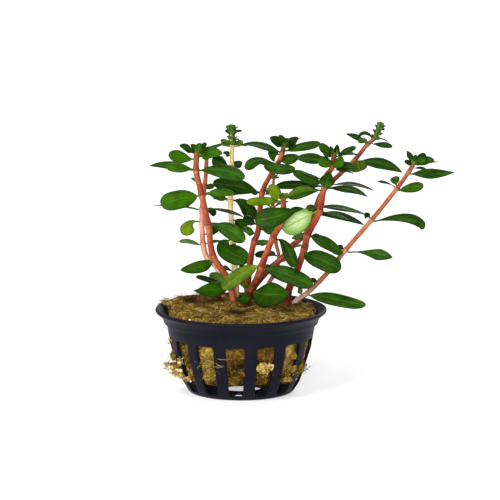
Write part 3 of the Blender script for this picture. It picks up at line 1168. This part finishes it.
def makeStem(line, material):
    stem = line["stem"]
    count = int(line["length"] / stemForm["step"])
    shape = bpy.data.curves.new(line["name"] + "_line", "CURVE")
    shape.dimensions = "3D"
    shape.bevel_depth = 1 * mm
    shape.bevel_resolution = 4
    shape.use_fill_caps = True
    spline = shape.splines.new("POLY")
    top, size, _ = stem["tuft"]["clusters"][-1]
    ends = top + 0.3 * size
    ways = [line["length"] * k / count for k in range(count + 1)]
    spots = [(placeAt(line, way)[0], stemRadius(line, way)) for way in ways]
    last, axis = tipAxis(line)
    for k in range(1, stemForm["tipRings"] + 1):
        narrow = math.sqrt(max(0.01, 1 - (k / stemForm["tipRings"]) ** 2))
        spots.append((last + axis * ends * k / stemForm["tipRings"], stem["radius"][1] * narrow))
    spline.points.add(len(spots) - 1)
    for point, (place, radius) in zip(spline.points, spots):
        point.co = (*(place * mm), 1)
        point.radius = radius
    pick(placed(line["name"] + "_skin", shape))
    bpy.ops.object.convert(target="MESH")
    piece = named(line["name"] + "_skin")
    mergeDoubles(piece, 0.002 * mm)
    cloudy(piece, "stemBumps", stemForm["bumpSize"], stemForm["bumpHeight"], 2, 0.5)
    tree = kdtree.KDTree(len(line["points"]))
    for k, point in enumerate(line["points"]):
        tree.insert(point * mm, k)
    tree.balance()
    ways = [line["ways"][tree.find(vertex.co)[1]] for vertex in piece.data.vertices]
    above = [max(0, (vertex.co / mm - last).dot(axis)) for vertex in piece.data.vertices]
    pointValues(piece, "along", [(way + 4 * over) / line["length"] for way, over in zip(ways, above)])
    pointValues(piece, "ring", [min((way - at for at in line["nodeWays"]), key=abs) for way in ways])
    pointValues(piece, "side", [vertex.normal.x for vertex in piece.data.vertices])
    finishPiece(piece, material, [line["name"]])


def makeSmallLeaves(line, material, chance):
    last, axis = tipAxis(line)
    rows = []
    for row in line["stem"]["small"]:
        spot = stemWayAt(line, row["at"])
        if "above" in row:
            spot = (last + axis * row["above"], axis, spot[2] * 0.5)
        rows.append((row, spot))
    rows += tipRows(line, chance)
    parts = [layBlade(smallBladeModel, row, spot, f"small{k}", chance) for k, (row, spot) in enumerate(rows)]
    finishPiece(joined(parts, line["name"] + "_small_leaves"), material, [line["name"]])


leafTones = {
    "green": {
        "slot": "leaf_green", "dark": (0.004, 0.014, 0.0006), "mid": (0.012, 0.048, 0.0006),
        "light": (0.034, 0.12, 0.001), "vein": (0.13, 0.23, 0.02), "under": (0.11, 0.2, 0.05),
        "rim": (0.014, 0.02, 0.003),
    },
    "young": {
        "slot": "leaf_young", "dark": (0.015, 0.036, 0.001), "mid": (0.046, 0.092, 0.001),
        "light": (0.13, 0.21, 0.004), "vein": (0.34, 0.42, 0.05), "under": (0.15, 0.21, 0.03),
        "rim": (0.07, 0.035, 0.006),
    },
    "under": {
        "slot": "leaf_under", "dark": (0.03, 0.13, 0.01), "mid": (0.06, 0.22, 0.015),
        "light": (0.13, 0.31, 0.02), "vein": (0.15, 0.3, 0.04), "under": (0.66, 0.8, 0.42),
        "rim": (0.08, 0.2, 0.02),
    },
}
freshGreen = ((0.03, 0.06, 0.003), (0.12, 0.19, 0.012))  # the smallest leaves round a bud


def leafSkin(name, colours):
    graph = Graph(name, roughness=0.36, Specular_IOR_Level=0.06)
    split = graph.add("ShaderNodeSeparateXYZ", 0, {0: graph.add("ShaderNodeUVMap", 0)})
    along = split.node.outputs[0]
    out = graph.math("ABSOLUTE", graph.math("MULTIPLY_ADD", split.node.outputs[1], 2.0, -1.0))
    mottle = graph.speckle(300, 5, 0.6)
    fine = graph.speckle(2200, 3)
    lean = graph.times(out, leafForm["veinLean"])
    beat = graph.times(graph.math("SUBTRACT", along, lean), leafForm["veins"])
    line = graph.math("ABSOLUTE", graph.math("SUBTRACT", graph.math("FRACT", beat), 0.5))
    veins = graph.times(graph.span(line, 0.4, 0.5), graph.span(out, 0.95, 0.3))
    midrib = graph.span(out, 0.1, 0.02)
    # Brightness comes from the leaf's own shade, a mottle, and a paler middle than margin.
    mixed = graph.math("MULTIPLY_ADD", mottle, 0.85, graph.times(graph.layer("tone"), 0.65))
    mixed = graph.math("SUBTRACT", mixed, graph.times(graph.math("POWER", out, 3.0), 0.22))
    mixed = graph.math("MULTIPLY_ADD", veins, 0.06, mixed)
    colour = graph.ramp(mixed, [(0.28, colours["dark"]), (0.62, colours["mid"]), (0.98, colours["light"])])
    fresh = graph.blend(graph.span(mottle, 0.35, 0.65), *freshGreen)
    colour = graph.blend(graph.layer("young"), colour, fresh)
    base = graph.times(graph.span(along, 0.2, 0.02), graph.span(out, 0.9, 0.1))
    pale = graph.math("MAXIMUM", graph.times(midrib, 0.2), graph.times(base, 0.5))
    colour = graph.blend(pale, colour, colours["vein"])
    colour = graph.cover(colour, graph.span(out, 0.93, 1.0), 0.6, colours["rim"])
    net = graph.math("MAXIMUM", graph.times(veins, 0.75), midrib)
    fromMiddle = graph.times(graph.math("SUBTRACT", along, 0.56), 2.2)
    squares = graph.math("ADD", graph.math("POWER", fromMiddle, 2.0), graph.math("POWER", out, 2.0))
    edge = graph.times(graph.span(graph.math("SQRT", squares), 0.15, 1.0), 0.9)
    shaded = graph.math("MAXIMUM", edge, graph.times(mottle, 0.3))
    below = graph.blend(shaded, colours["under"], colours["light"])
    cells = graph.add("ShaderNodeTexVoronoi", "Distance", {"Scale": 620.0}, feature="DISTANCE_TO_EDGE")
    net = graph.math("MAXIMUM", net, graph.times(graph.span(cells, 0.12, 0.02), 0.4))
    below = graph.cover(below, net, 0.7, colours["light"])
    colour = graph.blend(graph.layer("under"), colour, below)
    rough = graph.math("MULTIPLY_ADD", mottle, 0.25, 0.24)
    rough = graph.math("MULTIPLY_ADD", graph.layer("under"), 0.2, rough)
    height = graph.math("SUBTRACT", graph.times(fine, 0.4), graph.math("MAXIMUM", veins, midrib))
    return graph.finish(colour, rough, height, depth=0.14, strength=0.55)


stemStops = (0.06, 0.26, 0.62, 0.92)  # where along the stem the low, the middle and the high colour are reached
stemTones = {
    "ember": {  # orange brown from its foot to its first joint, and red above
        "slot": "stem_red", "low": (0.38, 0.12, 0.04), "middle": (0.39, 0.07, 0.028),
        "high": (0.32, 0.075, 0.02), "ring": (0.6, 0.22, 0.08), "streak": (0.2, 0.022, 0.007), "ringShare": 0.6,
        "stops": (0.3, 0.46, 0.6, 0.9),
    },
    "red": {
        "slot": "stem_red", "low": (0.17, 0.02, 0.006), "middle": (0.29, 0.036, 0.01),
        "high": (0.19, 0.023, 0.006), "ring": (0.56, 0.16, 0.05),
        "streak": (0.13, 0.01, 0.004), "ringShare": 0.5,
    },
    "rose": {  # as the red ones, with a pink end
        "slot": "stem_red", "low": (0.14, 0.017, 0.006), "middle": (0.31, 0.04, 0.012),
        "high": (0.5, 0.14, 0.07), "ring": (0.6, 0.19, 0.06), "streak": (0.15, 0.011, 0.004), "ringShare": 0.6,
        "stops": (0.3, 0.46, 0.66, 0.92),
    },
    "rust": {  # thin and brown red towards its tip, pink below
        "slot": "stem_pale", "low": (0.82, 0.6, 0.42), "middle": (0.75, 0.36, 0.26),
        "high": (0.15, 0.02, 0.008), "ring": (0.5, 0.24, 0.15), "streak": (0.42, 0.09, 0.04), "ringShare": 0.25,
        "stops": (0.06, 0.26, 0.6, 0.78),
    },
    "cream": {
        "slot": "stem_pale", "low": (0.6, 0.28, 0.13), "middle": (0.8, 0.62, 0.38),
        "high": (0.5, 0.46, 0.12), "ring": (0.52, 0.5, 0.12), "streak": (0.72, 0.42, 0.2), "ringShare": 0.8,
    },
    "tan": {
        "slot": "stem_pale", "low": (0.88, 0.66, 0.5), "middle": (0.4, 0.125, 0.05),
        "high": (0.22, 0.03, 0.008), "ring": (0.56, 0.29, 0.11),
        "streak": (0.27, 0.045, 0.016), "ringShare": 0.55,
    },
}


def stemSkin(name, tones):
    graph = Graph(name, roughness=0.4, Specular_IOR_Level=0.22)
    colours = (tones["low"], tones["middle"], tones["middle"], tones["high"], (0.17, 0.085, 0.018))
    colour = graph.ramp(graph.layer("along"), list(zip((*tones.get("stops", stemStops), 1), colours)))
    stretched = graph.add("ShaderNodeMapping", "Vector", {"Vector": graph.place(), "Scale": (1, 1, 0.22)})
    streaks = graph.speckle(1100, 4, 0.6, stretched)
    colour = graph.cover(colour, graph.span(streaks, 0.42, 0.68), 0.55, tones["streak"])
    patches = graph.span(graph.speckle(330, 3), 0.52, 0.68)
    colour = graph.cover(colour, patches, 0.3, tones["ring"])
    ring = graph.layer("ring")  # millimetres above the nearest joint
    pale = graph.times(graph.span(ring, -5, -0.6), graph.span(ring, 0.6, 0.2))
    uneven = graph.span(graph.speckle(500, 2), 0.35, 0.65, 0.2, tones["ringShare"])
    colour = graph.cover(colour, pale, uneven, tones["ring"])
    deep = graph.times(graph.span(ring, 5, 0.8), graph.span(ring, 0.2, 0.6))
    colour = graph.cover(colour, deep, 0.5, tones["streak"])
    # The left side is paler and the right side deeper, as on the plant.
    side = graph.layer("side")
    colour = graph.cover(colour, graph.span(side, -0.3, -0.95), 0.35, tones["ring"])
    colour = graph.cover(colour, graph.span(side, -0.05, 0.75), 0.65, tones["streak"])
    joint = graph.span(graph.math("ABSOLUTE", graph.math("SUBTRACT", ring, 0.5)), 0.3, 0.05)
    colour = graph.cover(colour, joint, 0.45, (0.09, 0.012, 0.005))
    freckles = graph.span(graph.speckle(1900, 2), 0.64, 0.72)
    colour = graph.cover(colour, freckles, 0.35, (0.16, 0.03, 0.012))
    rough = graph.math("MULTIPLY_ADD", streaks, 0.25, 0.25)
    return graph.finish(colour, rough, streaks, depth=0.2, strength=0.5)


leafSkins = {tone: leafSkin("leaf" + tone.title(), colours) for tone, colours in leafTones.items()}
stemSkins = {tone: stemSkin("stem" + tone.title(), colours) for tone, colours in stemTones.items()}
chance = random.Random(leafForm["seed"])
for number, stem in enumerate(stems, start=1):
    line = stemLine(f"stem_{number}", stem)
    makeStem(line, stemSkins[stem["colour"]])
    makeSmallLeaves(line, leafSkins["green"], chance)
    for k, row in enumerate(stem["large"], start=1):
        tone = row.get("tone", "green")
        node = f"leaf_{number}_{k}"
        piece = layBlade(bladeModel, row, stemWayAt(line, row["at"]), f"{node}_blade", chance)
        finishPiece(piece, leafSkins[tone], [node])
    print(f"stem {number} is made")
bpy.data.objects.remove(bladeModel)
bpy.data.objects.remove(smallBladeModel)
